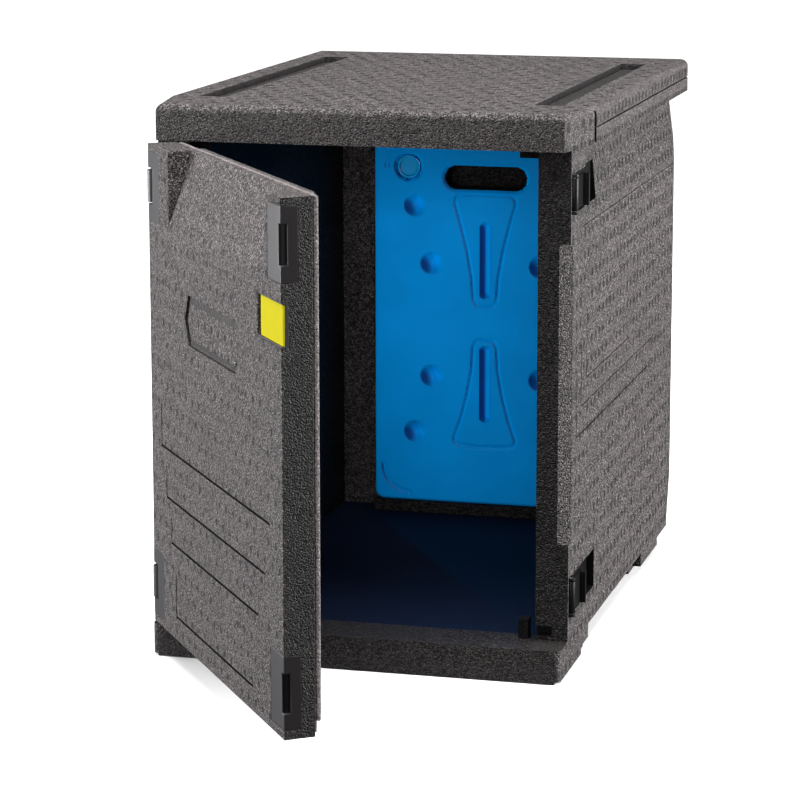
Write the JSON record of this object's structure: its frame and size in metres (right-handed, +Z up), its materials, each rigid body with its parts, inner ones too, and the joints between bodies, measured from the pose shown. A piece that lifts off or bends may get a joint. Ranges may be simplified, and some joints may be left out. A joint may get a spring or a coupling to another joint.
{
  "type": "insulated food carrier",
  "caption": "Box-shaped foamed-plastic food carrier with a side-hung front door, snap straps, a sliding tag, stacking slots and an upright cold plate inside.",
  "frame": {"origin": "middle of the front foot's sole, on the floor", "axes": "+X right as seen from the front, +Y towards the back, +Z up"},
  "size_m": [0.54, 1.1867, 0.683],
  "materials": {
    "foam": "charcoal bead foam",
    "fitting": "black moulded",
    "plate": "smooth grey",
    "pin": "drawn",
    "tag": "yellow card",
    "cold": "blue blow-moulded",
    "cap": "blue"
  },
  "bodies": {
    "carcass": {"carcass_base": "foam", "carcass_wall_left": "foam", "carcass_wall_right": "foam", "carcass_wall_back": "foam", "lid_slab": "foam", "latch_seat_upper": "fitting", "latch_seat_lower": "fitting", "latch_pin_upper": "pin", "latch_pin_lower": "pin", "hinge_seat_upper": "fitting", "hinge_seat_lower": "fitting", "hinge_seat_pin_upper": "pin", "hinge_seat_pin_lower": "pin", "hinge_strap_upper": "fitting", "hinge_strap_lower": "fitting"},
    "door": {"door_slab": "foam", "door_inner_panel": "foam", "door_plate_hinge_upper": "plate", "door_plate_hinge_lower": "plate", "door_plate_latch_upper": "plate", "door_plate_latch_lower": "plate", "hinge_pin_upper": "pin", "hinge_pin_lower": "pin", "tag_holder": "plate"},
    "strap_upper": {"latch_strap_upper": "fitting"},
    "strap_lower": {"latch_strap_lower": "fitting"},
    "cold_plate": {"cold_plate_shell": "cold"},
    "cap": {"cold_plate_cap": "cap"},
    "tag": {"id_tag": "tag"}
  },
  "joints": [
    {"name": "door_swing", "type": "hinge", "parent": "carcass", "child": "door", "pos_m": [-0.2485, -0.0595, 0.34], "axis": [0, 0, -1], "range_deg": [-54.7, 125.3]},
    {"name": "strap_upper_turn", "type": "hinge", "parent": "carcass", "child": "strap_upper", "pos_m": [0.2585, -0.008, 0.586], "axis": [0, 0, -1], "range_deg": [0, 180]},
    {"name": "strap_lower_turn", "type": "hinge", "parent": "carcass", "child": "strap_lower", "pos_m": [0.2585, -0.008, 0.095], "axis": [0, 0, -1], "range_deg": [0, 180]},
    {"name": "cold_plate_slide", "type": "slide", "parent": "carcass", "child": "cold_plate", "axis": [0, -1, 0], "range_m": [0, 0.6]},
    {"name": "cap_turn", "type": "hinge", "parent": "cold_plate", "child": "cap", "pos_m": [-0.112, 0.6265, 0.529], "axis": [0, -1, 0], "range_deg": [0, 360]},
    {"name": "tag_slide", "type": "slide", "parent": "door", "child": "tag", "axis": [0.5779, -0.8161, 0], "range_m": [0, 0.082]}
  ]
}
